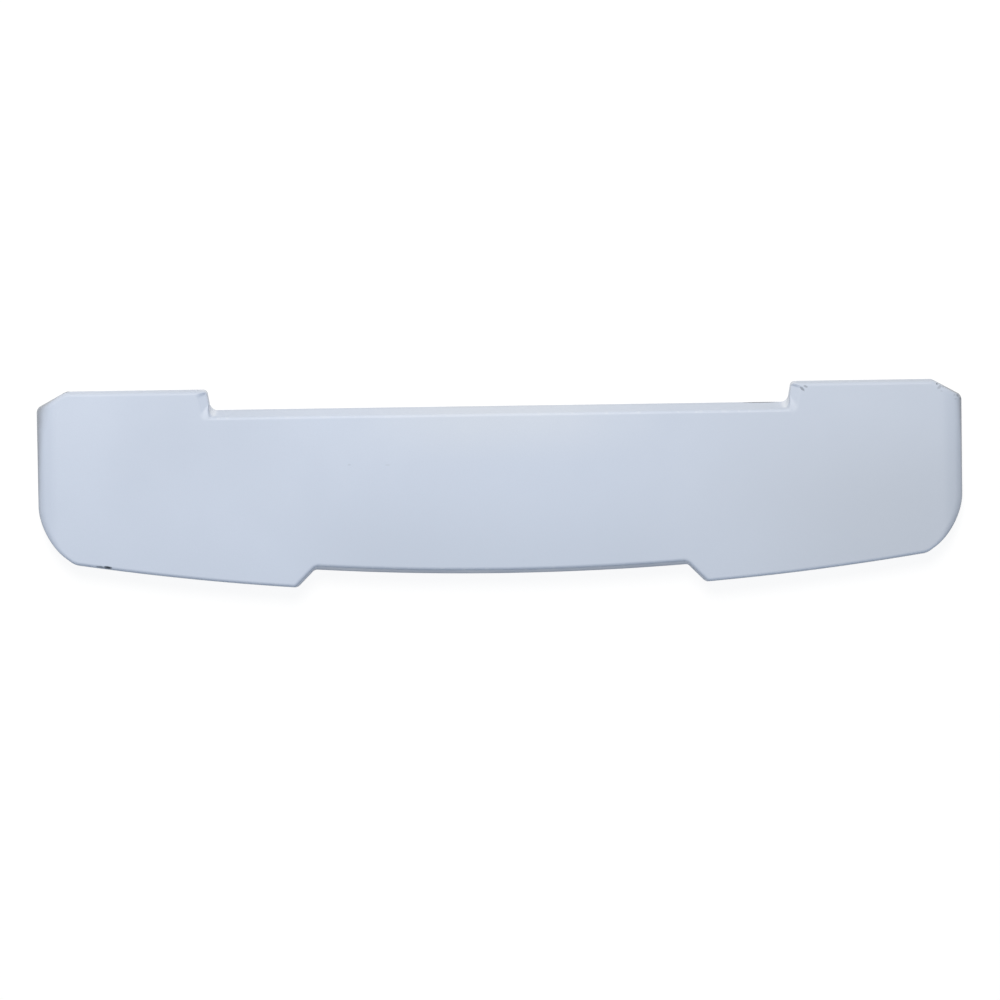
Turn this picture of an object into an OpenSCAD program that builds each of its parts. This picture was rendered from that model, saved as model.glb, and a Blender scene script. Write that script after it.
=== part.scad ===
// Roof spoiler: one moulded shell, open underneath, bonded to the roof by its rim.
// The front of the car is +Y, the roof lies in the plane Z = 0, and left and right are alike.
// The sheet is a loft: a rim outline, a face outline set in from it, and a rounded wall between them.
// The inside of the sheet is the same loft, set in and down by the thickness.

/* [Overall size] */
// Width across the car, over the two ends of the rim
spoiler_w = 1300; // [1150:10:1450]
// Depth from the front of the shoulders to the back of the lobes
spoiler_d = 281; // [255:2:315]
// Height of the face at the back of the lobes, before the crown takes its fall
rear_h = 46; // [40:1:56]
// Height of the face at the front of the shoulders, before the crown takes its fall
front_h = 34; // [31:1:40]
// Thickness of the moulded sheet
wall_t = 3.5; // [2.5:0.5:4]

/* [Face] */
// Fall of the face from the centre line to the ends
crown = 8; // [4:1:10]
// Rise of the face in the middle of its depth
camber = 4; // [1:0.5:6]
// Extra fall where the face rolls over at each end
roll_drop = 10; // [5:1:12]
// Length of each end over which the face rolls over
roll_l = 28; // [24:2:50]

/* [Front outline] */
// Width of the recess between the two shoulders
recess_w = 810; // [700:2:860]
// Depth of the recess behind the front of the shoulders
recess_d = 29; // [24:1:36]
// How far each side of the recess leans out towards its mouth
recess_flare = 5; // [2:1:12]
// Radius where the recess meets its sides
recess_r = 11; // [7:1:14]
// Radius of the inner corner of each shoulder
shoulder_r = 6; // [4:1:8]
// Length of each cut-off front corner, across the car
chamfer_w = 42; // [26:1:54]
// Length of each cut-off front corner, along the car
chamfer_d = 23; // [14:1:32]
// Radius at both ends of the cut-off corner
chamfer_r = 10; // [6:1:12]

/* [Rear outline] */
// Radius of the bow of the rear edge, seen from above
bow_r = 3850; // [3000:50:6000]
// Width of the notch between the two lobes, at its bottom
notch_w = 525; // [440:5:600]
// Depth of the notch
notch_d = 27; // [20:1:34]
// How far each side of the notch leans out towards its mouth
notch_flare = 25; // [14:1:34]
// Radius where the notch meets its sides
notch_r = 7; // [5:1:12]
// Radius of the inner corner of each lobe
lobe_r = 9; // [6:1:12]
// Length of each cut-off rear corner, across the car
rear_cut_w = 50; // [36:2:64]
// Length of each cut-off rear corner, along the car
rear_cut_d = 37; // [26:1:46]
// Radius where the rear cut meets the rear edge
rear_cut_r = 22; // [12:2:40]
// Radius where the rear cut sweeps up into the end
sweep_r = 92; // [60:2:100]

/* [Walls] */
// Lean of the wall round the shoulders
shoulder_lean = 2; // [1.5:0.5:5]
// Radius of the edge round the shoulders
shoulder_edge_r = 4.5; // [3.5:0.5:8]
// Lean of the wall round the recess
recess_lean = 9.5; // [5:0.5:11]
// Radius of the edge above the recess
recess_edge_r = 3.5; // [2.5:0.5:8]
// Lean of the wall at each side of the recess
side_lean = 1.5; // [1:0.5:4]
// Radius of the edge at each side of the recess
side_edge_r = 3.5; // [2.5:0.5:5]
// Width of the bevel that dips towards each side of the recess
side_bevel_w = 10; // [6:1:12]
// Slope of that bevel, in degrees
side_bevel_tilt = 18; // [10:1:24]
// Lean of the wall round the lobes
lobe_lean = 4; // [2:0.5:7]
// Radius of the edge round the lobes
lobe_edge_r = 4.5; // [3.5:0.5:8]
// Lean of the rear wall in the notch
notch_lean = 8.5; // [4:0.5:10]
// Radius of the edge above the notch
notch_edge_r = 5.5; // [4.5:0.5:9]
// Lean of the wall at each end
end_lean = 3; // [2:0.5:7]
// Radius of the edge at each end
end_edge_r = 8.5; // [6:0.5:12]

/* [Hidden] */

shell_colour = [0.78, 0.82, 0.88];

// Smallest radius left inside a bend of the sheet, and in a corner of an outline
bend_r_min = 0.5;
corner_r_min = 2.5;
// Width of the flat strip between the face and an edge that has no bevel
strip_w = 1;
// How the fall of a rolled end grows along it
roll_power = 1.5;
// Most of the rear cut's length that the corner at its rear edge may take up
cut_share = 1 / 3;

// Segments along each stretch of the outline: both lists have the same sum
front_segs = [15, 4, 1, 4, 3, 2, 5, 2];
rear_segs = [7, 3, 1, 4, 10, 3, 1, 7];
// Rows of the face from front to back, and segments round the edge of the face
face_rows = 8;
edge_segs = 5;

half_w = spoiler_w / 2;
front_y = spoiler_d / 2;
recess_y = front_y - recess_d;
recess_x = recess_w / 2;
notch_x = notch_w / 2;
lobe_x = notch_x + notch_flare;
lobe_y = -spoiler_d / 2;
// Where the bowed rear edges of the lobes and of the notch cross the centre line
lobe_mid_y = lobe_y - bow(lobe_x);
notch_mid_y = lobe_mid_y + notch_d;
roll_x = half_w - roll_l;

// Wall below each stretch of the outline: lean, edge radius, and width and slope of the bevel above
recess_wall = [recess_lean, recess_edge_r, strip_w, 0];
side_wall = [side_lean, side_edge_r, side_bevel_w, tan(side_bevel_tilt)];
shoulder_wall = [shoulder_lean, shoulder_edge_r, strip_w, 0];
end_wall = [end_lean, end_edge_r, strip_w, 0];
lobe_wall = [lobe_lean, lobe_edge_r, strip_w, 0];
notch_wall = [notch_lean, notch_edge_r, strip_w, 0];

function total(v, n) = n == 0 ? 0 : v[n - 1] + total(v, n - 1);
function last(v) = v[len(v) - 1];
function unit(v) = v / norm(v);
function right_of(d) = [d.y, -d.x];
function mix(a, b, t) = a + (b - a) * t;
function cross2(a, b) = a.x * b.y - a.y * b.x;
// Where the line through p along d meets the line through q along e
function meet(p, d, q, e) = p + d * cross2(q - p, e) / cross2(d, e);

// How far a bowed rear edge has come forward at x, its direction there, and its point there
function bow(x) = bow_r - sqrt(bow_r ^ 2 - x ^ 2);
function bow_dir(x) = unit([bow_r - bow(x), x]);
function bow_point(x, mid_y) = [x, mid_y + bow(x)];
// Where the line through p along d meets a bowed edge, found in a few turns from a guess x
function meet_bow(p, d, mid_y, x, turns = 5) =
    let (q = bow_point(x, mid_y))
    turns == 0 ? q : meet_bow(p, d, mid_y, p.x + d.x / d.y * (q.y - p.y), turns - 1);

// Height of the outer face over the roof: a wedge with some camber, a crown and rolled ends
function face_h(x, y) =
    let (back = (front_y - y) / spoiler_d, rolled = max(abs(x) - roll_x, 0) / roll_l)
    mix(front_h, rear_h, back) + 4 * camber * back * (1 - back)
    - crown * (x / half_w) ^ 2 - roll_drop * rolled ^ roll_power;
// Point of the face above an outline point, on the outer skin (0) or the inner skin (wall_t)
function on_face(p, skin) = [p.x, p.y, face_h(p.x, p.y) - skin];

// Edge radius of a wall on one skin, so that both skins bend round the same centre
function bend_r(wall, skin) = max(wall[1] - skin, bend_r_min);
// How far an outline lies in from the outer rim: at is 0 for the rim and 1 for the face
function inset(wall, at, skin) = skin + (wall[0] + bend_r(wall, skin) + wall[2]) * at;
// Radius of an outward corner after an inset
function tighter(r, by) = max(r - by, corner_r_min);

// An outline point with the wall below it, and that wall
function with_wall(p, wall) = concat([p.x, p.y], wall);
function wall_of(p) = [p[2], p[3], p[4], p[5]];
// A quarter of an ellipse from a to b, with its corner at v
function rounded(a, v, b, n) =
    [for (k = [0:n]) let (t = 90 * k / n) v + (a - v) * (1 - sin(t)) + (b - v) * (1 - cos(t))];
// A corner of radius r at v, which comes in along d and leaves along e, between two walls.
// It reaches no further than room, where the outline is too short for its radius.
function corner(d, v, e, r, wall_in, wall_out, n, room = spoiler_w) =
    let (reach = min(r * tan(acos(d * e) / 2), room), mid_wall = mix(wall_in, wall_out, 0.5))
    rounded(with_wall(v - d * reach, wall_in), with_wall(v, mid_wall),
            with_wall(v + e * reach, wall_out), n);
// The points between a and b, on a straight line or on a bowed edge, without a and b
function between(a, b, n) = [for (k = [1:1:n - 1]) mix(a, b, k / n)];
function between_bow(a, b, mid_y, n) =
    [for (p = between(a, b, n)) with_wall(bow_point(p.x, mid_y), wall_of(p))];

// Right half of the front edge, from the centre line out to the end
function front_half(at, skin) =
    let (recess_in = inset(recess_wall, at, skin), side_in = inset(side_wall, at, skin))
    let (shoulder_in = inset(shoulder_wall, at, skin), across = [1, 0], down = [0, -1])
    let (side = unit([recess_flare, recess_d]), cut = unit([chamfer_w, -chamfer_d]))
    let (middle = [0, recess_y - recess_in])
    let (side_p = [recess_x, recess_y] + right_of(side) * side_in)
    let (shoulder_p = [0, front_y - shoulder_in])
    let (cut_p = [half_w, front_y - chamfer_d] + right_of(cut) * shoulder_in)
    let (end_p = [half_w - inset(end_wall, at, skin), 0])
    let (foot = meet(middle, across, side_p, side))
    let (shoulder = meet(shoulder_p, across, side_p, side))
    let (cut_in = meet(shoulder_p, across, cut_p, cut))
    let (cut_out = meet(end_p, down, cut_p, cut))
    let (a = corner(across, foot, side, recess_r + skin, recess_wall, side_wall, front_segs[1]))
    let (b = corner(side, shoulder, across, tighter(shoulder_r, shoulder_in),
                    side_wall, shoulder_wall, front_segs[3]))
    let (c = corner(across, cut_in, cut, chamfer_r, shoulder_wall, shoulder_wall, front_segs[5]))
    let (d = corner(cut, cut_out, down, chamfer_r, shoulder_wall, end_wall, front_segs[7]))
    let (start = with_wall(middle, recess_wall))
    concat([start], between(start, a[0], front_segs[0]),
           a, between(last(a), b[0], front_segs[2]),
           b, between(last(b), c[0], front_segs[4]),
           c, between(last(c), d[0], front_segs[6]), d);

// Right half of the rear edge, from the centre line out to the end
function rear_half(at, skin) =
    let (lobe_in = inset(lobe_wall, at, skin))
    let (up = [0, 1], side = unit([lobe_x, lobe_y] - bow_point(notch_x, notch_mid_y)))
    let (notch_mid = notch_mid_y + inset(notch_wall, at, skin), lobe_mid = lobe_mid_y + lobe_in)
    let (side_p = [lobe_x, lobe_y] - right_of(side) * lobe_in)
    let (foot = meet_bow(side_p, side, notch_mid, notch_x))
    let (lobe = meet_bow(side_p, side, lobe_mid, lobe_x))
    let (cut_x = half_w - rear_cut_w, cut = unit([rear_cut_w, rear_cut_d]))
    let (cut_p = bow_point(cut_x, lobe_mid_y) - right_of(cut) * lobe_in)
    let (end_p = [half_w - inset(end_wall, at, skin), 0])
    let (cut_in = meet_bow(cut_p, cut, lobe_mid, cut_x))
    let (cut_out = meet(end_p, up, cut_p, cut))
    let (a = corner(bow_dir(foot.x), foot, side, notch_r + lobe_in,
                    notch_wall, lobe_wall, rear_segs[1]))
    let (b = corner(side, lobe, bow_dir(lobe.x), tighter(lobe_r, lobe_in),
                    lobe_wall, lobe_wall, rear_segs[3]))
    let (c = corner(bow_dir(cut_in.x), cut_in, cut, rear_cut_r,
                    lobe_wall, lobe_wall, rear_segs[5], norm(cut_out - cut_in) * cut_share))
    let (room = norm(cut_out - [last(c).x, last(c).y]) - strip_w)
    let (d = corner(cut, cut_out, up, sweep_r, lobe_wall, end_wall, rear_segs[7], room))
    let (start = with_wall([0, notch_mid], notch_wall))
    concat([start], between_bow(start, a[0], notch_mid, rear_segs[0]),
           a, between(last(a), b[0], rear_segs[2]),
           b, between_bow(last(b), c[0], lobe_mid, rear_segs[4]),
           c, between(last(c), d[0], rear_segs[6]), d);

// The face is a grid: columns run from -cols to cols across the car, and rows from front to back
cols = total(front_segs, len(front_segs));
grid_count = (2 * cols + 1) * (face_rows + 1);
function grid_index(i, j) = (i + cols) * (face_rows + 1) + j;
// A grid point of an outline, from its right-hand front and rear halves
function grid_point(halves, i, j) =
    let (p = mix(halves[0][abs(i)], halves[1][abs(i)], j / face_rows))
    i < 0 ? with_wall([-p.x, p.y], wall_of(p)) : p;
function halves(at, skin) = [front_half(at, skin), rear_half(at, skin)];

// The outline as grid places, clockwise seen from above, from the middle of the front
loop = concat([for (i = [0:cols]) [i, 0]], [for (j = [1:face_rows - 1]) [cols, j]],
              [for (i = [cols:-1:-cols]) [i, face_rows]],
              [for (j = [face_rows - 1:-1:1]) [-cols, j]], [for (i = [-cols:-1]) [i, 0]]);
places = len(loop);
// Rings of the wall: the rim, then those of the rounded edge, and last the outline of the face
rings = edge_segs + 3;
function ring_index(s, k) =
    let (n = k % places)
    s == rings - 1 ? grid_index(loop[n].x, loop[n].y) : grid_count + s * places + n;

// Section of the wall from the rim point p to the face point q, without q
function wall_section(p, q, skin) =
    let (wall = wall_of(p), r = bend_r(wall, skin), bevelled = r + wall[2], rim = [p.x, p.y, 0])
    let (top = on_face(mix(q, p, bevelled / (wall[0] + bevelled)), skin + wall[3] * bevelled))
    let (edge_end = mix(top, on_face(q, skin), r / bevelled))
    concat([rim], rounded(top + unit(rim - top) * r, top, edge_end, edge_segs));

// Points of one skin of the sheet: the grid of the face, then the rings of the wall
function skin_points(skin) =
    let (rim = halves(0, skin), face = halves(1, skin))
    let (walls = [for (at = loop)
        wall_section(grid_point(rim, at.x, at.y), grid_point(face, at.x, at.y), skin)])
    concat([for (i = [-cols:cols], j = [0:face_rows]) on_face(grid_point(face, i, j), skin)],
           [for (s = [0:rings - 2], k = [0:places - 1]) walls[k][s]]);

// Two triangles for a quad, cut along its other diagonal where flip is set
function two(a, b, c, d, flip) = flip ? [[b, c, d], [b, d, a]] : [[a, b, c], [a, c, d]];
// Triangles of one skin, which face up and out
skin_faces = concat(
    [for (i = [-cols:cols - 1], j = [0:face_rows - 1])
        each two(grid_index(i, j), grid_index(i + 1, j),
                 grid_index(i + 1, j + 1), grid_index(i, j + 1), i < 0)],
    [for (s = [0:rings - 2], k = [0:places - 1])
        each two(ring_index(s, k), ring_index(s, k + 1),
                 ring_index(s + 1, k + 1), ring_index(s + 1, k), loop[k].x < 0)]);
// The same triangles on the inner skin, whose points come after n others, face down and in
function turned(faces, n) = [for (f = faces) [f[2] + n, f[1] + n, f[0] + n]];
// Triangles of the flat rim between the two skins
function rim_faces(n) =
    [for (k = [0:places - 1])
        each two(ring_index(0, k), ring_index(0, k) + n,
                 ring_index(0, k + 1) + n, ring_index(0, k + 1), false)];

module spoiler_shell() {
    outer = skin_points(0);
    inner = skin_points(wall_t);
    n = len(outer);
    color(shell_colour)
        polyhedron(concat(outer, inner), concat(skin_faces, turned(skin_faces, n), rim_faces(n)),
                   convexity = 4);
}

spoiler_shell();
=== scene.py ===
import math

import bmesh
import bpy
import numpy as np
from mathutils import Matrix, Vector
from mathutils.geometry import delaunay_2d_cdt


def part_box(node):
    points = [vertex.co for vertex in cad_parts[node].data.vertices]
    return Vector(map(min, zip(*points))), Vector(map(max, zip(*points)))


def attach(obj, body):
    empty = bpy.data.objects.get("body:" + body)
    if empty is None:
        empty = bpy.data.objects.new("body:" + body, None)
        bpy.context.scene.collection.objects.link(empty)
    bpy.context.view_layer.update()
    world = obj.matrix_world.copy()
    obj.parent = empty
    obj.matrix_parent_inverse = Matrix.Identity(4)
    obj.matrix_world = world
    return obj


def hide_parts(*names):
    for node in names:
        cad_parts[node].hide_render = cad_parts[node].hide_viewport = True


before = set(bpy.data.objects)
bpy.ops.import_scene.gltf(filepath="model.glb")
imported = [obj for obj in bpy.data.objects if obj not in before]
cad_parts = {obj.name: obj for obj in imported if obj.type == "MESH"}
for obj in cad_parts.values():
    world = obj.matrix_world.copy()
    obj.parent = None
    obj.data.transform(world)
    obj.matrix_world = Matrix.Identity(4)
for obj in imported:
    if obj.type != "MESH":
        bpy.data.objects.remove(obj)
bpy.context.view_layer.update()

# The shell is lofted again here, finer than the CAD solid, from the same sizes, but for the sharper walls
# of the recess sides and of the notch. Lengths are in millimetres until the mesh is made. +X is across the
# car, +Y to its front and +Z up off the roof.
MM = 0.001
NODE = "spoiler_shell"
BOX_LOW, BOX_HIGH = (np.array(corner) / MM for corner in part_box(NODE))
HALF_W = (BOX_HIGH[0] - BOX_LOW[0]) / 2
FRONT_Y = BOX_HIGH[1]

DEPTH = 281.0
REAR_H, FRONT_H, SHEET = 46.0, 34.0, 3.5
CROWN, CAMBER = 8.0, 4.0
ROLL_DROP, ROLL_L, ROLL_POWER = 10.0, 28.0, 1.5

# Front edge: the recess in its middle, the shoulders beside it and the cut-off corners
RECESS_W, RECESS_D, RECESS_FLARE, RECESS_R = 810.0, 29.0, 5.0, 11.0
SHOULDER_R = 6.0
CHAMFER_W, CHAMFER_D, CHAMFER_R = 42.0, 23.0, 10.0

# Rear edge: its bow, the lamp notch, the lobes beside it and the swept corners
BOW_R = 3850.0
NOTCH_W, NOTCH_D, NOTCH_FLARE, NOTCH_R = 525.0, 27.0, 25.0, 7.0
LOBE_R = 9.0
REAR_CUT_W, REAR_CUT_D, REAR_CUT_R, SWEEP_R = 50.0, 37.0, 22.0, 92.0

# Wall below each stretch of the outline: lean, edge radius, and width and slope of the bevel above
STRIP_W = 1.0
RECESS_WALL = (9.5, 3.5, STRIP_W, 0.0)
SIDE_WALL = (0.3, 0.8, 13.9, math.tan(math.radians(20)))
SHOULDER_WALL = (2.0, 4.5, STRIP_W, 0.0)
LOBE_WALL = (4.0, 4.5, STRIP_W, 0.0)
NOTCH_WALL = (8.0, 4.5, 2.5, 0.0)
END_WALL = (3.0, 8.5, STRIP_W, 0.0)
BEND_R_MIN, CORNER_R_MIN = 0.5, 2.5
# The corner at the inner end of the rear cut takes no more than this share of the cut
CUT_SHARE = 1 / 3
# A row of an outline holds x, y and the four numbers of its wall, and only x changes sign on the left
ROW = 6
MIRROR = np.array([-1.0, 1.0, 1.0, 1.0, 1.0, 1.0])

# Segments of each stretch of the front and the rear half outline and of the ends, on both skins
OUTER_FRONT, OUTER_REAR, OUTER_END = (110, 12, 8, 10, 60, 8, 20, 12), (84, 10, 12, 10, 96, 12, 10, 28), 40
INNER_FRONT, INNER_REAR, INNER_END = (36, 8, 4, 6, 22, 4, 6, 6), (28, 6, 4, 6, 32, 4, 4, 12), 12
# Rings of the wall, of its rounded edge and of the bevel, and the spacing of the points of the face
OUTER_RINGS, INNER_RINGS = (8, 12, 4), (2, 5, 2)
OUTER_STEP, INNER_STEP = 5.0, 14.0
# The face's first ring lies this far inside its outline, so that the crease there stays tight
CREASE_W = 0.6
# Inner points keep this many steps from the face's outline, and joined points lie this near to each other
FILL_GAP, WELD = 0.6, 1e-4

# Marks on the outer skin, wear and a painted shadow line at the rim of the recess among them: place, half
# length, half width and half height of each mark, its turn in plan, how deep it is, and how dark
MARKS = (
    # Chip on the left rear edge
    ((-551.4, -105.9, 41.0), (7.2, 2.7, 6.0), -8.0, 1.5, 1.0),
    ((-561.4, -104.9, 40.0), (7.5, 1.9, 6.0), -9.0, 0.6, 0.58),
    # Dark shallow dents where the right shoulder's bevel meets its edge
    ((424.8, 130.4, 31.5), (4.9, 2.2, 6.0), -41.0, 0.6, 0.48),
    ((429.9, 133.7, 31.0), (3.8, 1.9, 6.0), -27.0, 0.5, 0.34),
    # Spots and smudges at the right front corner
    ((614.0, 134.6, 26.0), (1.5, 1.4, 5.0), 0.0, 0.3, 0.85),
    ((617.6, 130.0, 27.0), (4.8, 2.5, 5.0), 36.0, 0.3, 0.30),
    ((622.3, 130.4, 26.0), (2.0, 1.6, 5.0), -30.0, 0.2, 0.22),
    ((620.3, 124.4, 27.0), (2.4, 1.4, 5.0), 0.0, 0.1, 0.13),
    ((643.0, 117.5, 18.0), (2.4, 1.7, 7.0), -60.0, 0.3, 0.36),
    ((638.2, 118.4, 22.0), (2.0, 1.5, 5.0), 60.0, 0.2, 0.20),
    ((639.8, 113.0, 22.0), (2.8, 1.3, 5.0), 0.0, 0.1, 0.16),
    ((647.0, 112.8, 13.0), (1.4, 2.6, 6.5), 0.0, 0.2, 0.45),
    # Dark mark at the rim of the left front corner, and a painted shadow line at the rim of the recess
    ((-609.0, 139.6, 3.0), (7.0, 2.6, 7.5), 10.0, 0.3, 0.65),
    ((367.0, 111.5, 0.4), (28.0, 2.2, 3.6), 0.6, 0.1, 0.8),
    # Faint marks on the face
    ((-210.8, 33.8, 40.0), (3.0, 1.3, 5.0), 4.0, 0.1, 0.13),
    ((-156.8, 32.9, 40.0), (5.2, 1.1, 5.0), 0.0, 0.1, 0.12),
)
# Spans of the outline this near to a mark are cut into finer ones
MARK_REACH, MARK_CUTS = 12.0, 5
# The face gets finer points within this many times a mark's size, this far apart
MARK_ROOM, MARK_STEP = 1.5, 1.1
# Shares of a mark's depth that it is pressed in across the part, and down
PUSH_IN, PUSH_DOWN = 0.5, 0.85
# How uneven a mark's floor is, and the length of its bumps in half widths of the mark
DENT_ROUGH, DENT_GRAIN, DENT_SEED = 0.35, 1.5, 11

# The moulded sheet is never quite true: its face waves by a few hundredths of a millimetre
WAVE_H, WAVE_L, WAVE_SEED = 0.05, 130.0, 3
# A wave is the sum of this many plain ones, whose lengths lie in this range about the mean
WAVES, WAVE_RANGE = 9, (0.7, 1.6)

# An edge of the rim that turns by more than this is shaded sharp
SHARP = math.radians(40)

RECESS_Y = FRONT_Y - RECESS_D
NOTCH_X = NOTCH_W / 2
LOBE_X = NOTCH_X + NOTCH_FLARE
LOBE_Y = FRONT_Y - DEPTH


def bow(x):
    """How far a bowed rear edge has come forward at x."""
    return BOW_R - np.sqrt(BOW_R**2 - x**2)


LOBE_MID_Y = LOBE_Y - bow(LOBE_X)
NOTCH_MID_Y = LOBE_MID_Y + NOTCH_D


def unit(v):
    """The direction of v, one long."""
    v = np.asarray(v, float)
    return v / np.linalg.norm(v)


def right_of(d):
    """The direction to the right of d."""
    return np.array([d[1], -d[0]])


def cross2(a, b):
    """The cross product of two directions in plan."""
    return a[0] * b[1] - a[1] * b[0]


def meet(p, d, q, e):
    """Where the line through p along d meets the line through q along e."""
    p, d, q = (np.asarray(v, float) for v in (p, d, q))
    return p + d * cross2(q - p, e) / cross2(d, e)


def bow_dir(x):
    """The direction of a bowed edge at x."""
    return unit([BOW_R - bow(x), x])


def bow_point(x, mid_y):
    """The point at x of a bowed edge that crosses the centre line at mid_y."""
    return np.array([x, mid_y + bow(x)])


def meet_bow(p, d, mid_y, x, turns=5):
    """Where the line through p along d meets a bowed edge, found from a guess x."""
    for _ in range(turns):
        x = p[0] + d[0] / d[1] * (mid_y + bow(x) - p[1])
    return bow_point(x, mid_y)


def face_h(x, y):
    """Height of the outer face: a wedge with some camber, a crown and rolled ends."""
    back = (FRONT_Y - y) / DEPTH
    rolled = np.maximum(np.abs(x) - (HALF_W - ROLL_L), 0) / ROLL_L
    wedge = FRONT_H + (REAR_H - FRONT_H) * back + 4 * CAMBER * back * (1 - back)
    return wedge - CROWN * (x / HALF_W) ** 2 - ROLL_DROP * rolled**ROLL_POWER


def bend_r(edge_r, skin):
    """Edge radius of a skin that lies this far inside the outer one."""
    return np.maximum(edge_r - skin, BEND_R_MIN)


def inset(wall, at, skin):
    """How far an outline lies in from the outer rim: at is 0 for the rim and 1 for the face."""
    return skin + (wall[0] + bend_r(wall[1], skin) + wall[2]) * at


def tighter(r, by):
    """Radius of an outer corner of an outline that lies this far inside the rim."""
    return max(r - by, CORNER_R_MIN)


def with_wall(p, wall):
    """A row of an outline: a point and the wall below it."""
    return np.array([p[0], p[1], *wall])


def rounded(a, v, b, n):
    """A quarter of an ellipse from a to b, with its corner at v."""
    t = np.linspace(0, math.pi / 2, n + 1)[:, None]
    return v + (a - v) * (1 - np.sin(t)) + (b - v) * (1 - np.cos(t))


def corner(d, v, e, r, wall_in, wall_out, n, room=math.inf):
    """A corner of radius r at v, which comes in along d and leaves along e, between two walls."""
    reach = min(r * math.tan(math.acos(float(np.dot(d, e))) / 2), room)
    mid_wall = [(a + b) / 2 for a, b in zip(wall_in, wall_out)]
    return rounded(with_wall(v - d * reach, wall_in), with_wall(v, mid_wall),
                   with_wall(v + e * reach, wall_out), n)


def between(a, b, n, mid_y=None):
    """The points between a and b, on a straight line or on a bowed edge, without a and b."""
    t = (np.arange(1, n) / n)[:, None]
    line = a + (b - a) * t
    if mid_y is not None:
        line[:, 1] = mid_y + bow(line[:, 0])
    return line


def front_half(at, skin, segs):
    """Right half of the front edge, from the centre line out to the end."""
    recess_in, shoulder_in = inset(RECESS_WALL, at, skin), inset(SHOULDER_WALL, at, skin)
    across, down = np.array([1.0, 0.0]), np.array([0.0, -1.0])
    side, cut = unit([RECESS_FLARE, RECESS_D]), unit([CHAMFER_W, -CHAMFER_D])
    middle = np.array([0.0, RECESS_Y - recess_in])
    side_p = np.array([RECESS_W / 2, RECESS_Y]) + right_of(side) * inset(SIDE_WALL, at, skin)
    shoulder_p = np.array([0.0, FRONT_Y - shoulder_in])
    cut_p = np.array([HALF_W, FRONT_Y - CHAMFER_D]) + right_of(cut) * shoulder_in
    end_p = np.array([HALF_W - inset(END_WALL, at, skin), 0.0])
    foot, shoulder = meet(middle, across, side_p, side), meet(shoulder_p, across, side_p, side)
    cut_in, cut_out = meet(shoulder_p, across, cut_p, cut), meet(end_p, down, cut_p, cut)
    a = corner(across, foot, side, RECESS_R + skin, RECESS_WALL, SIDE_WALL, segs[1])
    b = corner(side, shoulder, across, tighter(SHOULDER_R, shoulder_in), SIDE_WALL, SHOULDER_WALL, segs[3])
    c = corner(across, cut_in, cut, CHAMFER_R, SHOULDER_WALL, SHOULDER_WALL, segs[5])
    d = corner(cut, cut_out, down, CHAMFER_R, SHOULDER_WALL, END_WALL, segs[7])
    start = with_wall(middle, RECESS_WALL)
    return np.vstack([start, between(start, a[0], segs[0]), a, between(a[-1], b[0], segs[2]),
                      b, between(b[-1], c[0], segs[4]), c, between(c[-1], d[0], segs[6]), d])


def rear_half(at, skin, segs):
    """Right half of the rear edge, from the centre line out to the end."""
    lobe_in = inset(LOBE_WALL, at, skin)
    up = np.array([0.0, 1.0])
    side = unit(np.array([LOBE_X, LOBE_Y]) - bow_point(NOTCH_X, NOTCH_MID_Y))
    notch_mid, lobe_mid = NOTCH_MID_Y + inset(NOTCH_WALL, at, skin), LOBE_MID_Y + lobe_in
    side_p = np.array([LOBE_X, LOBE_Y]) - right_of(side) * lobe_in
    foot = meet_bow(side_p, side, notch_mid, NOTCH_X)
    lobe = meet_bow(side_p, side, lobe_mid, LOBE_X)
    cut_x, cut = HALF_W - REAR_CUT_W, unit([REAR_CUT_W, REAR_CUT_D])
    cut_p = bow_point(cut_x, LOBE_MID_Y) - right_of(cut) * lobe_in
    end_p = np.array([HALF_W - inset(END_WALL, at, skin), 0.0])
    cut_in, cut_out = meet_bow(cut_p, cut, lobe_mid, cut_x), meet(end_p, up, cut_p, cut)
    a = corner(bow_dir(foot[0]), foot, side, NOTCH_R + lobe_in, NOTCH_WALL, LOBE_WALL, segs[1])
    b = corner(side, lobe, bow_dir(lobe[0]), tighter(LOBE_R, lobe_in), LOBE_WALL, LOBE_WALL, segs[3])
    c = corner(bow_dir(cut_in[0]), cut_in, cut, REAR_CUT_R, LOBE_WALL, LOBE_WALL, segs[5],
               np.linalg.norm(cut_out - cut_in) * CUT_SHARE)
    room = np.linalg.norm(cut_out - c[-1][:2]) - STRIP_W
    d = corner(cut, cut_out, up, SWEEP_R, LOBE_WALL, END_WALL, segs[7], room)
    start = with_wall([0.0, notch_mid], NOTCH_WALL)
    return np.vstack([start, between(start, a[0], segs[0], notch_mid), a, between(a[-1], b[0], segs[2]),
                      b, between(b[-1], c[0], segs[4], lobe_mid), c, between(c[-1], d[0], segs[6]), d])


def outline(at, skin, front_segs, rear_segs, end_segs):
    """A whole outline, clockwise seen from above, from the middle of the front."""
    front, rear = front_half(at, skin, front_segs), rear_half(at, skin, rear_segs)
    right = np.vstack([front, between(front[-1], rear[-1], end_segs), rear[::-1]])
    left = right[-2:0:-1] * MIRROR
    return np.vstack([right, left])


def refined(rim, face):
    """The same two outlines with extra points near the marks."""
    places = np.array([mark[0][:2] for mark in MARKS])
    both, out = np.hstack([rim, face]), []
    for here, after in zip(both, np.roll(both, -1, axis=0)):
        mid = (here + after)[ROW:ROW + 2] / 2
        near = np.linalg.norm(places - mid, axis=1).min() < MARK_REACH
        cuts = MARK_CUTS if near else 1
        out += [here + (after - here) * k / cuts for k in range(cuts)]
    out = np.array(out)
    return out[:, :ROW], out[:, ROW:]


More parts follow.
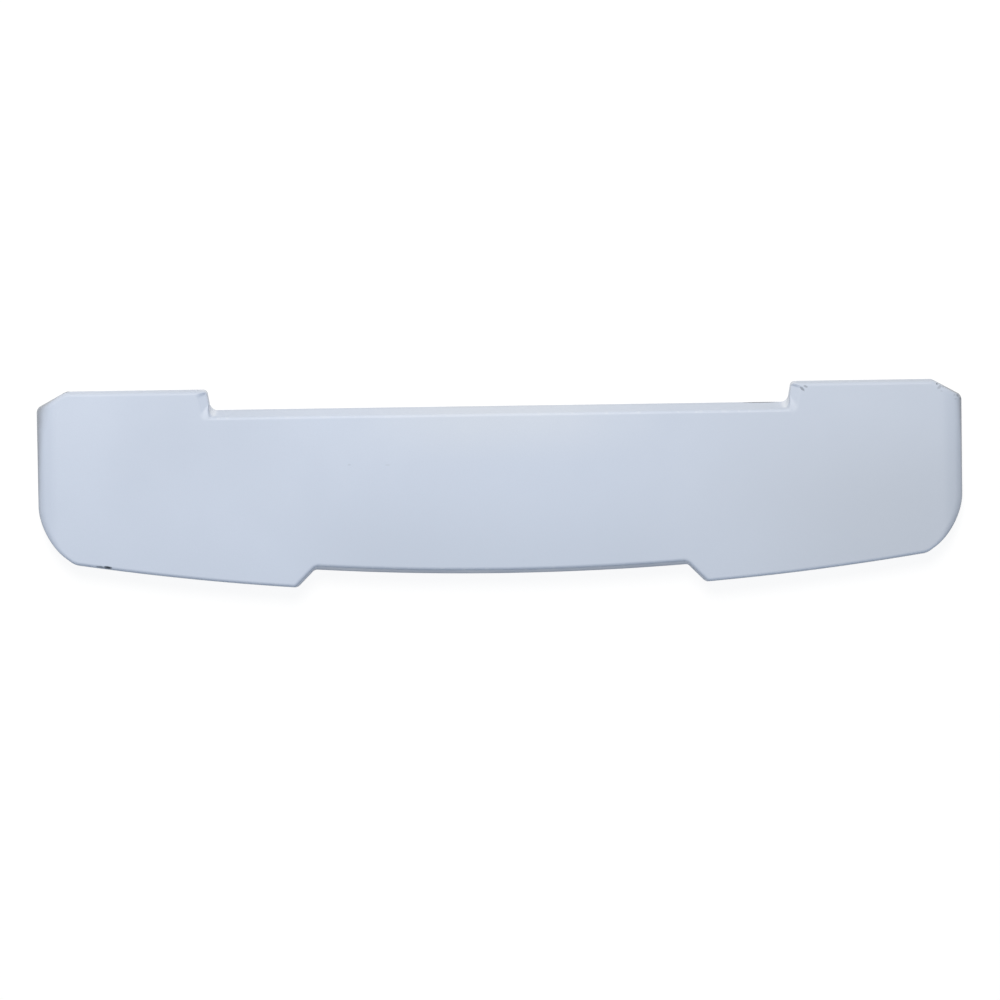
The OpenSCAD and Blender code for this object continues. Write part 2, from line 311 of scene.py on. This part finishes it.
def wall_section(p, q, skin, rings):
    """Rings of points from the rim outline p up to the face outline q and just inside it, and how
    much each ring lies on the rounded edge."""
    walls, bends, bevels = rings
    lean, r, bevel, slope = p[:, 2:3], bend_r(p[:, 3:4], skin), p[:, 4:5], p[:, 5:6]
    bevelled = r + bevel

    def lifted(xy, lower=0.0):
        height = face_h(xy[:, 0], xy[:, 1])[:, None] - skin - lower
        return np.hstack([xy, height])

    foot, edge = np.column_stack([p[:, :2], np.zeros(len(p))]), lifted(q[:, :2])
    top = lifted(q[:, :2] + (p[:, :2] - q[:, :2]) * bevelled / (lean + bevelled), slope * bevelled)
    edge_end = top + (edge - top) * r / bevelled
    down = foot - top
    start = top + down / np.linalg.norm(down, axis=1)[:, None] * r
    ahead = np.roll(q[:, :2], -1, axis=0) - np.roll(q[:, :2], 1, axis=0)
    ahead /= np.linalg.norm(ahead, axis=1)[:, None]
    inward = np.column_stack([ahead[:, 1], -ahead[:, 0]])
    parts = [foot + (start - foot) * k / walls for k in range(walls)]
    turn = [math.pi / 2 * k / bends for k in range(bends)]
    parts += [top + (start - top) * (1 - math.sin(t)) + (edge_end - top) * (1 - math.cos(t)) for t in turn]
    parts += [edge_end + (edge - edge_end) * k / bevels for k in range(bevels + 1)]
    parts += [lifted(q[:, :2] + inward * CREASE_W)]
    worn = [0.0] * walls + [math.sin(2 * t) for t in turn] + [0.0] * (bevels + 2)
    return parts, worn


def within(loop, points, gap, block=2000):
    """Those of the points that lie inside a loop, further than gap from its own points, block by block."""
    a, b = loop, np.roll(loop, -1, axis=0)
    rise = np.where(b[:, 1] == a[:, 1], 1.0, b[:, 1] - a[:, 1])
    kept = []
    for first in range(0, len(points), block):
        part = points[first:first + block]
        x, y = part[:, :1], part[:, 1:]
        spans = (a[:, 1] > y) != (b[:, 1] > y)
        hits = spans & (x < a[:, 0] + (b[:, 0] - a[:, 0]) * (y - a[:, 1]) / rise)
        near = ((x - a[:, 0]) ** 2 + (y - a[:, 1]) ** 2).min(axis=1)
        kept.append(part[(hits.sum(axis=1) % 2 == 1) & (near > gap**2)])
    return np.vstack(kept)


def lattice(low, high, step):
    """Points step apart in a rectangle."""
    xs, ys = (np.arange(a + step / 2, b, step) for a, b in zip(low, high))
    return np.stack(np.meshgrid(xs, ys), axis=-1).reshape(-1, 2)


def fill(loop, step, marked):
    """Points inside a loop and the triangles over the loop's points and them, all in plan."""
    inner = within(loop, lattice(loop.min(axis=0), loop.max(axis=0), step), FILL_GAP * step)
    for (x, y, _), (long, wide, _), *_ in MARKS if marked else ():
        r = MARK_ROOM * max(long, wide)
        fine = lattice((x - r, y - r), (x + r, y + r), MARK_STEP)
        fine = fine[np.hypot(fine[:, 0] - x, fine[:, 1] - y) < r]
        inner = inner[np.hypot(inner[:, 0] - x, inner[:, 1] - y) > r]
        inner = np.vstack([inner, within(loop, fine, MARK_STEP / 2)])
    points = np.vstack([loop, inner])
    edges = [(k, (k + 1) % len(loop)) for k in range(len(loop))]
    # Kind 1 keeps only the triangles inside the loop
    _, _, faces, sources, _, _ = delaunay_2d_cdt([Vector(p) for p in points], edges, [], 1, WELD)
    return inner, [tuple(sources[v][0] for v in face) for face in faces]


def make_skin(skin, segs, rings, step, marked):
    """Points and faces of one skin, its rim ring, and how much each point lies on the rounded edge."""
    rim, face = (outline(at, skin, *segs) for at in (0, 1))
    if marked:
        rim, face = refined(rim, face)
    parts, worn = wall_section(rim, face, skin, rings)
    n, last = len(rim), (len(parts) - 1) * len(rim)
    inner, triangles = fill(parts[-1][:, :2], step, marked)
    heights = face_h(inner[:, 0], inner[:, 1]) - skin
    points = np.vstack([*parts, np.column_stack([inner, heights])])
    quads = [(s * n + k, (s + 1) * n + k, (s + 1) * n + (k + 1) % n, s * n + (k + 1) % n)
             for s in range(len(parts) - 1) for k in range(n)]
    faces = quads + [tuple(last + v for v in triangle) for triangle in triangles]
    worn = np.concatenate([np.repeat(worn, n), np.zeros(len(inner))])
    return points, faces, list(range(n)), worn


def wander(points, length, seed):
    """A smooth wave without a pattern, mostly from -1 to 1, whose bumps are about length apart."""
    draw = np.random.default_rng(seed)
    total = np.zeros(len(points))
    for _ in range(WAVES):
        turn, phase = draw.uniform(0, 2 * math.pi, 2)
        step = 2 * math.pi / (length * draw.uniform(*WAVE_RANGE))
        total += np.sin((points[:, 0] * math.cos(turn) + points[:, 1] * math.sin(turn)) * step + phase)
    return total / WAVES**0.5 / 2


def dent(points):
    """Presses the marks into the outer skin, in from the front or the rear and down."""
    for place, size, turn, depth, _ in MARKS:
        x, y, z = (points - np.array(place)).T
        c, s = math.cos(math.radians(turn)), math.sin(math.radians(turn))
        local = np.column_stack([x * c + y * s, y * c - x * s, z])
        reach = np.minimum(np.linalg.norm(local / np.array(size), axis=1), 1.0)
        ragged = 1 + DENT_ROUGH * wander(points, size[1] * DENT_GRAIN, DENT_SEED)
        push = np.array([0.0, -math.copysign(PUSH_IN, place[1]), -PUSH_DOWN])
        points += push * (depth * ragged * (1 - reach**2) ** 2)[:, None]


def shell_mesh():
    """The whole shell as one closed mesh: outer skin, inner skin and the flat rim between them."""
    outer, outer_faces, outer_rim, worn = make_skin(
        0.0, (OUTER_FRONT, OUTER_REAR, OUTER_END), OUTER_RINGS, OUTER_STEP, True)
    inner, inner_faces, inner_rim, _ = make_skin(
        SHEET, (INNER_FRONT, INNER_REAR, INNER_END), INNER_RINGS, INNER_STEP, False)
    face = np.clip(outer[:, 2] / FRONT_H, 0, 1)
    outer[:, 2] += (wander(outer, WAVE_L, WAVE_SEED) - 1) * WAVE_H * face
    dent(outer)
    outer = np.clip(outer, BOX_LOW, BOX_HIGH)
    mesh = bpy.data.meshes.new("spoiler_skin")
    faces = outer_faces + [tuple(len(outer) + v for v in reversed(f)) for f in inner_faces]
    mesh.from_pydata((np.vstack([outer, inner]) * MM).tolist(), [], faces)
    inside = np.zeros(len(faces), dtype=np.int32)
    inside[len(outer_faces):] = 1
    mesh.polygons.foreach_set("material_index", inside)
    close_rim(mesh, outer_rim, [len(outer) + v for v in inner_rim])
    mesh.polygons.foreach_set("use_smooth", np.ones(len(mesh.polygons), dtype=bool))
    edge = mesh.attributes.new("edge", "FLOAT", "POINT")
    edge.data.foreach_set("value", np.concatenate([worn, np.zeros(len(inner))]).astype(np.float32))
    mesh.update()
    return mesh


def close_rim(mesh, outer_rim, inner_rim):
    """Fills the flat band between the two skins, whose rims have different numbers of points."""
    bm = bmesh.new()
    bm.from_mesh(mesh)
    bm.verts.ensure_lookup_table()
    a = [bm.verts[v] for v in outer_rim]
    b = [bm.verts[v] for v in inner_rim]

    def spans(ring):
        """How far round the ring each point lies, from 0 to 1."""
        steps = [(ring[(k + 1) % len(ring)].co - ring[k].co).length for k in range(len(ring))]
        return np.cumsum([0.0, *steps]) / sum(steps)

    sa, sb, i, j = spans(a), spans(b), 0, 0
    while i < len(a) or j < len(b):
        va, vb = a[i % len(a)], b[j % len(b)]
        if j >= len(b) or (i < len(a) and sa[i + 1] <= sb[j + 1]):
            face = bm.faces.new((va, a[(i + 1) % len(a)], vb))
            i += 1
        else:
            face = bm.faces.new((va, b[(j + 1) % len(b)], vb))
            j += 1
        face.material_index = 1
        for edge in face.edges:
            if edge.calc_face_angle(0) > SHARP:
                edge.smooth = False
    bm.normal_update()
    bm.to_mesh(mesh)
    bm.free()


class Nodes:
    """Short calls to build the node tree of a material or of the world."""

    def __init__(self, name="", world=None):
        self.material = world or bpy.data.materials.new(name)
        self.material.use_nodes = True
        self.tree = self.material.node_tree
        self.tree.nodes.clear()
        self.out = self.add("ShaderNodeOutputWorld" if world else "ShaderNodeOutputMaterial")

    def add(self, kind, values=None, **settings):
        """A new node with its inputs' values and its settings."""
        node = self.tree.nodes.new(kind)
        for key, value in settings.items():
            setattr(node, key, value)
        for key, value in (values or {}).items():
            self.put(node.inputs[key], value)
        return node

    def put(self, socket, value):
        """Links another node's output to an input, or sets the input to a plain value."""
        if isinstance(value, bpy.types.NodeSocket):
            self.tree.links.new(value, socket)
        else:
            socket.default_value = value

    def math(self, kind, a, b=0.0, clamp=False):
        return self.add("ShaderNodeMath", {0: a, 1: b}, operation=kind, use_clamp=clamp).outputs[0]

    def times(self, a, b):
        return self.math("MULTIPLY", a, b)

    def noise(self, place, scale, detail, rough):
        return self.add("ShaderNodeTexNoise", {
            "Vector": place, "Scale": scale, "Detail": detail, "Roughness": rough}).outputs["Fac"]

    def span(self, value, low, high, to_low=0.0, to_high=1.0):
        """Goes smoothly from to_low to to_high while value goes from low to high."""
        return self.add("ShaderNodeMapRange", {
            "Value": value, "From Min": low, "From Max": high, "To Min": to_low, "To Max": to_high},
            interpolation_type="SMOOTHSTEP").outputs[0]

    def mix(self, factor, a, b):
        """Colour a where factor is 0, and colour b where it is 1."""
        node = self.add("ShaderNodeMix", data_type="RGBA")
        self.put(node.inputs["Factor"], factor)
        for key, value in (("A", a), ("B", b)):
            socket = [s for s in node.inputs if s.name == key and s.type == "RGBA"][0]
            self.put(socket, value)
        return [s for s in node.outputs if s.type == "RGBA"][0]

    def bump(self, height, strength, distance):
        values = {"Height": height, "Strength": strength, "Distance": distance}
        return self.add("ShaderNodeBump", values).outputs[0]

    def plastic(self, base, rough, normal):
        """The material, ended in one plastic shader."""
        shader = self.add("ShaderNodeBsdfPrincipled", {
            "Base Color": base, "Roughness": rough, "Normal": normal, "IOR": PLASTIC_IOR})
        self.put(self.out.inputs["Surface"], shader.outputs[0])
        return self.material


def colour(r, g, b):
    """Blender's linear values for a colour as a screen shows it, from 0 to 255 and not near black."""
    linear = [((c / 255 + 0.055) / 1.055) ** 2.4 for c in (r, g, b)]
    return (*linear, 1.0)


PLASTIC_IOR = 1.5
# Some of these colours are painted light and shade: the greyer tone of the right rear, pale reflected
# light at the foot of the recess sides, the darker front edges of the shoulders and the dark foot of the
# walls
PAINT, PAINT_CLOUD = colour(199, 208, 223), colour(203, 212, 227)
GREYER_SHADE, SIDE_BOUNCE = colour(187, 194, 205), colour(228, 232, 238)
GRAIN, SPECK = colour(190, 199, 213), colour(166, 174, 186)
RUBBED, SHOULDER_SHADE = colour(214, 220, 228), colour(190, 198, 211)
WALL_FOOT_SHADE, WEAR_AND_SHADOW = colour(142, 145, 150), colour(58, 66, 76)
INSIDE, INSIDE_CLOUD = colour(176, 182, 192), colour(190, 197, 207)

# Painted light and shade in the paint: painted shade by the left side of the recess, a painted highlight
# at the middle of the front and painted shade at the middle of the rear. For each field: middle in x, how
# far from it the field ends and is full, where in y it starts and is full, its strength and its colour.
# Lengths in the materials are in metres.
PAINTED_LIGHT_FIELDS = (
    (-0.41, (0.19, 0.03), (-0.04, 0.07), 0.42, colour(190, 199, 214)),
    (0.01, (0.26, 0.02), (0.02, 0.10), 0.6, colour(212, 218, 227)),
    (0.01, (0.34, 0.16), (0.03, -0.11), 0.6, colour(190, 199, 213)),
)

# Noises: scale, detail and roughness. The other pairs below are two ends, of a place or of an amount.
CLOUD_NOISE, CLOUD_ENDS = (3.2, 3.0, 0.55), (0.35, 0.65)
NOISE_ENDS, NOISE_MIDDLE = (0.3, 0.7), 0.5
GRAIN_NOISE, GRAIN_AMOUNT = (900.0, 2.0, 0.6), (0.0, 0.22)
SPECK_NOISE, SPECK_ENDS, SPECK_AMOUNT = (1600.0, 1.0, 0.5), (0.74, 0.80), (0.0, 0.25)
PEEL_NOISE, PEEL_BUMP = (260.0, 2.0, 0.5), (0.10, 0.0004)
GLOSS_NOISE, GLOSS_ROUGH = (14.0, 4.0, 0.6), (0.52, 0.62)

# Greyer and darker paint towards the right rear, a grey tint with painted shade; less of it on the rear
# wall and its edge
GREY_SHADE_X, GREY_SHADE_Y, GREY_SHADE_AMOUNT = (0.05, 0.60), (0.13, -0.04), (0.6, 1.0)
WALL_Z, WALL_Y, WALL_AMOUNT = (0.036, 0.030), (-0.07, -0.10), (0.0, 0.8)

# Painted reflected light: pale paint at the foot of the recess sides
FOOT_X, FOOT_REACH = 0.407, (0.014, 0.006)
FOOT_Y, FOOT_Z, FOOT_AMOUNT = (0.092, 0.102), (0.028, 0.022), (0.0, 0.6)

# Rubbed patches along the edges, fewer on the shoulders, whose front edges get painted shade instead,
# which dims their highlight
SHOULDER_X = (0.395, 0.415)
RUB_NOISE, RUB_ENDS, RUB_AMOUNT, RUB_LOSS = (90.0, 5.0, 0.65), (0.5, 0.66), 0.5, 0.4
SHOULDER_SHADE_Y, SHOULDER_SHADE_AMOUNT = (0.09, 0.11), (0.0, 0.45)

# Painted shade low on the walls, in patches, at their foot: more of it at the rear, and higher and denser
# at the ends, from left to right
PATCH_NOISE, PATCH_AMOUNT = (24.0, 4.0, 0.6), (0.3, 0.7)
END_X, REAR_Y, REAR_AMOUNT = (0.600, 0.635), (0.06, -0.03), (0.2, 1.0)
LEFT_TO_RIGHT, END_HIGHER, END_DENSER = (-0.6, 0.6), (0.016, 0.0115), (0.18, 0.42)
WALL_FOOT_SHADE_Z = (0.013, 0.0)

# Borders of the marks, and how much rougher the marks are
BORDER_NOISE, BORDER_ROUGH, BORDER_ENDS = (700.0, 3.0, 0.6), 0.9, (1.05, 0.55)
MARK_ROUGH = 0.3

INSIDE_NOISE, INSIDE_GLOSS_NOISE, INSIDE_ROUGH = (9.0, 5.0, 0.6), (60.0, 3.0, 0.6), (0.6, 0.78)
INSIDE_GRAIN_NOISE, INSIDE_BUMP = (420.0, 4.0, 0.65), (0.35, 0.0006)


def mark_mask(n, place):
    """Where the marks are, from 0 to their darkness, with ragged borders."""
    ragged = n.times(n.math("SUBTRACT", n.noise(place, *BORDER_NOISE), NOISE_MIDDLE), BORDER_ROUGH)
    total = None
    for at, size, turn, _, dark in MARKS:
        local = n.add("ShaderNodeMapping", {
            "Vector": place, "Location": [v * MM for v in at], "Rotation": (0.0, 0.0, math.radians(turn)),
            "Scale": [v * MM for v in size]}, vector_type="TEXTURE").outputs[0]
        reach = n.add("ShaderNodeVectorMath", {0: local}, operation="LENGTH").outputs["Value"]
        spot = n.span(n.math("ADD", reach, ragged), *BORDER_ENDS, 0.0, dark)
        total = spot if total is None else n.math("MAXIMUM", total, spot)
    return total


def clouded_and_lit(n, place, x, y):
    """Paint with faint clouds and the fields of painted light and shade."""
    base = n.mix(n.span(n.noise(place, *CLOUD_NOISE), *CLOUD_ENDS), PAINT, PAINT_CLOUD)
    for middle, ends_x, ends_y, strength, tone in PAINTED_LIGHT_FIELDS:
        away = n.math("ABSOLUTE", n.math("SUBTRACT", x, middle))
        here = n.times(n.span(away, *ends_x), n.span(y, *ends_y, 0.0, strength))
        base = n.mix(here, base, tone)
    return base


def greyed_and_shaded(n, base, x, y, z, edge):
    """Greyer and darker towards the right rear: a grey tint with painted shade."""
    below_face = n.math("MAXIMUM", n.span(z, *WALL_Z), edge)
    rear_wall = n.times(below_face, n.span(y, *WALL_Y, *WALL_AMOUNT))
    amount = n.times(n.span(x, *GREY_SHADE_X), n.span(y, *GREY_SHADE_Y, *GREY_SHADE_AMOUNT))
    return n.mix(n.times(amount, n.math("SUBTRACT", 1.0, rear_wall)), base, GREYER_SHADE)


def painted_bounce(n, base, y, z, wide):
    """Painted reflected light: pale at the foot of the recess sides."""
    near = n.span(n.math("ABSOLUTE", n.math("SUBTRACT", wide, FOOT_X)), *FOOT_REACH)
    near = n.times(near, n.span(y, *FOOT_Y))
    return n.mix(n.times(near, n.span(z, *FOOT_Z, *FOOT_AMOUNT)), base, SIDE_BOUNCE)


def grained(n, base, place):
    """Fine grain and a few specks."""
    base = n.mix(n.span(n.noise(place, *GRAIN_NOISE), *NOISE_ENDS, *GRAIN_AMOUNT), base, GRAIN)
    return n.mix(n.span(n.noise(place, *SPECK_NOISE), *SPECK_ENDS, *SPECK_AMOUNT), base, SPECK)


def rubbed_and_shaded(n, base, place, y, wide, edge):
    """Rubbed edges, and painted shade on the shoulders' front edges, which dims their highlight."""
    at_shoulder = n.span(wide, *SHOULDER_X)
    amount = n.times(edge, n.math("SUBTRACT", RUB_AMOUNT, n.times(at_shoulder, RUB_LOSS)))
    base = n.mix(n.times(amount, n.span(n.noise(place, *RUB_NOISE), *RUB_ENDS)), base, RUBBED)
    shoulder_shade = n.times(n.times(edge, at_shoulder), n.span(y, *SHOULDER_SHADE_Y, *SHOULDER_SHADE_AMOUNT))
    return n.mix(shoulder_shade, base, SHOULDER_SHADE)


def foot_shaded(n, base, place, x, y, z, wide):
    """Painted shade low on the walls, in patches."""
    at_end = n.span(wide, *END_X)
    shade_share = n.math("MAXIMUM", n.span(y, *REAR_Y, *REAR_AMOUNT), at_end)
    higher = n.times(at_end, n.span(x, *LEFT_TO_RIGHT, *END_HIGHER))
    low = n.span(n.math("SUBTRACT", z, higher), *WALL_FOOT_SHADE_Z)
    denser = n.times(at_end, n.span(x, *LEFT_TO_RIGHT, *END_DENSER))
    patchy = n.math("ADD", n.span(n.noise(place, *PATCH_NOISE), *NOISE_ENDS, *PATCH_AMOUNT), denser, True)
    return n.mix(n.times(n.times(low, shade_share), patchy), base, WALL_FOOT_SHADE)


def shell_material():
    """Satin painted plastic: faint clouds, painted light and shade, orange peel, rubbed edges and marks.
    """
    n = Nodes("satin_shell")
    place = n.add("ShaderNodeTexCoord").outputs["Object"]
    x, y, z = n.add("ShaderNodeSeparateXYZ", {0: place}).outputs
    wide = n.math("ABSOLUTE", x)
    edge = n.add("ShaderNodeAttribute", attribute_name="edge", attribute_type="GEOMETRY").outputs["Fac"]
    base = greyed_and_shaded(n, clouded_and_lit(n, place, x, y), x, y, z, edge)
    base = grained(n, painted_bounce(n, base, y, z, wide), place)
    base = rubbed_and_shaded(n, base, place, y, wide, edge)
    base = foot_shaded(n, base, place, x, y, z, wide)
    marks = mark_mask(n, place)
    # The marks' dark colour: wear, and painted shadow in the line at the rim of the recess
    base = n.mix(marks, base, WEAR_AND_SHADOW)
    rough = n.span(n.noise(place, *GLOSS_NOISE), *NOISE_ENDS, *GLOSS_ROUGH)
    rough = n.math("ADD", rough, n.times(marks, MARK_ROUGH), True)
    return n.plastic(base, rough, n.bump(n.noise(place, *PEEL_NOISE), *PEEL_BUMP))


def inside_material():
    """The bare, finely grained inside of the moulding."""
    n = Nodes("moulded_inside")
    place = n.add("ShaderNodeTexCoord").outputs["Object"]
    base = n.mix(n.span(n.noise(place, *INSIDE_NOISE), *NOISE_ENDS), INSIDE, INSIDE_CLOUD)
    rough = n.span(n.noise(place, *INSIDE_GLOSS_NOISE), *NOISE_ENDS, *INSIDE_ROUGH)
    return n.plastic(base, rough, n.bump(n.noise(place, *INSIDE_GRAIN_NOISE), *INSIDE_BUMP))


def make_shell():
    """The shell's one piece, in place of the CAD solid."""
    mesh = shell_mesh()
    mesh.materials.append(shell_material())
    mesh.materials.append(inside_material())
    shell = bpy.data.objects.new("spoiler_skin", mesh)
    bpy.context.collection.objects.link(shell)
    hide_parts(NODE)
    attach(shell, "root")


# The floor lies a hair below the rim. To the camera it is a dark surface lifted to white by its own glow,
# so that a shadow on it stays faint.
FLOOR_SIZE, FLOOR_GAP = 60.0, 0.0003
FLOOR_TONE = (0.71, 0.68, 0.64, 1.0)
FLOOR_SHADE, FLOOR_LIFT = (0.12, 0.12, 0.12, 1.0), 0.91


def white_rays(n):
    """1 for a ray from the camera, or from gloss or glass, and 0 for light on the object."""
    path = n.add("ShaderNodeLightPath")
    mirrored = n.math("MAXIMUM", path.outputs["Is Glossy Ray"], path.outputs["Is Transmission Ray"])
    return n.math("MAXIMUM", path.outputs["Is Camera Ray"], mirrored)


def make_floor():
    """A pale floor that shows white to the camera, apart from the object's shadow."""
    mesh = bpy.data.meshes.new("floor")
    half = FLOOR_SIZE / 2
    corners = [(-half, -half, 0), (half, -half, 0), (half, half, 0), (-half, half, 0)]
    mesh.from_pydata(corners, [], [(0, 1, 2, 3)])
    floor = bpy.data.objects.new("floor", mesh)
    floor.location.z = -FLOOR_GAP
    bpy.context.collection.objects.link(floor)
    n = Nodes("pale_floor")
    pale = n.add("ShaderNodeBsdfDiffuse", {"Color": FLOOR_TONE})
    shaded = n.add("ShaderNodeBsdfDiffuse", {"Color": FLOOR_SHADE})
    lift = n.add("ShaderNodeEmission", {"Strength": FLOOR_LIFT})
    seen = n.add("ShaderNodeAddShader", {0: shaded.outputs[0], 1: lift.outputs[0]})
    mix = n.add("ShaderNodeMixShader", {0: white_rays(n), 1: pale.outputs[0], 2: seen.outputs[0]})
    n.put(n.out.inputs["Surface"], mix.outputs[0])
    mesh.materials.append(n.material)


SKY_COLOUR, SKY_STRENGTH = (0.72, 0.91, 1.18, 1.0), 0.33
WHITE = (1.0, 1.0, 1.0, 1.0)


def make_world():
    """A soft even sky, white where the camera sees it."""
    world = bpy.data.worlds.new("studio")
    bpy.context.scene.world = world
    world.use_nodes = True
    n = Nodes(world=world)
    sky = n.add("ShaderNodeBackground", {"Color": SKY_COLOUR, "Strength": SKY_STRENGTH})
    white = n.add("ShaderNodeBackground", {"Color": WHITE, "Strength": 1.0})
    mix = n.add("ShaderNodeMixShader", {0: white_rays(n), 1: sky.outputs[0], 2: white.outputs[0]})
    n.put(n.out.inputs["Surface"], mix.outputs[0])


def aim(obj, roll=0.0):
    """Points a lamp or camera at the origin, with the picture's top towards the front of the car."""
    back = obj.location.normalized()
    right = Vector((0.0, 1.0, 0.0)).cross(back).normalized()
    up = back.cross(right)
    turn = Matrix((right, up, back)).transposed()
    obj.rotation_euler = (turn @ Matrix.Rotation(roll, 3, "Z")).to_euler()


KEY_PLACE, KEY_SIZE = (-0.7, 5.5, 8.3), 5.0
KEY_POWER, KEY_TINT = 872.0, (1.0, 0.93, 0.83)


def make_lamp():
    """A wide soft lamp in front of the part."""
    lamp = bpy.data.lights.new("key", "AREA")
    lamp.shape = "DISK"
    lamp.size, lamp.energy, lamp.color = KEY_SIZE, KEY_POWER, KEY_TINT
    obj = bpy.data.objects.new("key", lamp)
    obj.location = KEY_PLACE
    bpy.context.collection.objects.link(obj)
    aim(obj)


# The photograph is square to the face, but for a few degrees towards the front of the car
PHOTO_SIZE = 1000
PHOTO_CENTRE = (500.2, 485.0)
MM_PER_PIXEL = 1.407
TILT_DEG = 0.845
LEAN_FRONT = 0.06
CAMERA_FAR, CLIP_FAR = 8.0, 80.0
SENSOR = 36.0


def make_camera():
    """A long lens above the part, turned and shifted as the photograph is framed."""
    camera = bpy.data.cameras.new("camera")
    obj = bpy.data.objects.new("camera", camera)
    bpy.context.collection.objects.link(obj)
    obj.location = Vector((0.0, LEAN_FRONT, 1.0)).normalized() * CAMERA_FAR
    camera.sensor_width = SENSOR
    camera.lens = SENSOR * CAMERA_FAR / (PHOTO_SIZE * MM_PER_PIXEL * MM)
    camera.shift_x = (PHOTO_SIZE / 2 - PHOTO_CENTRE[0]) / PHOTO_SIZE
    camera.shift_y = (PHOTO_CENTRE[1] - PHOTO_SIZE / 2) / PHOTO_SIZE
    camera.clip_end = CLIP_FAR
    aim(obj, -math.radians(TILT_DEG))
    bpy.context.scene.camera = obj


make_shell()
make_floor()
make_world()
make_lamp()
make_camera()
bpy.context.scene.view_settings.view_transform = "Standard"
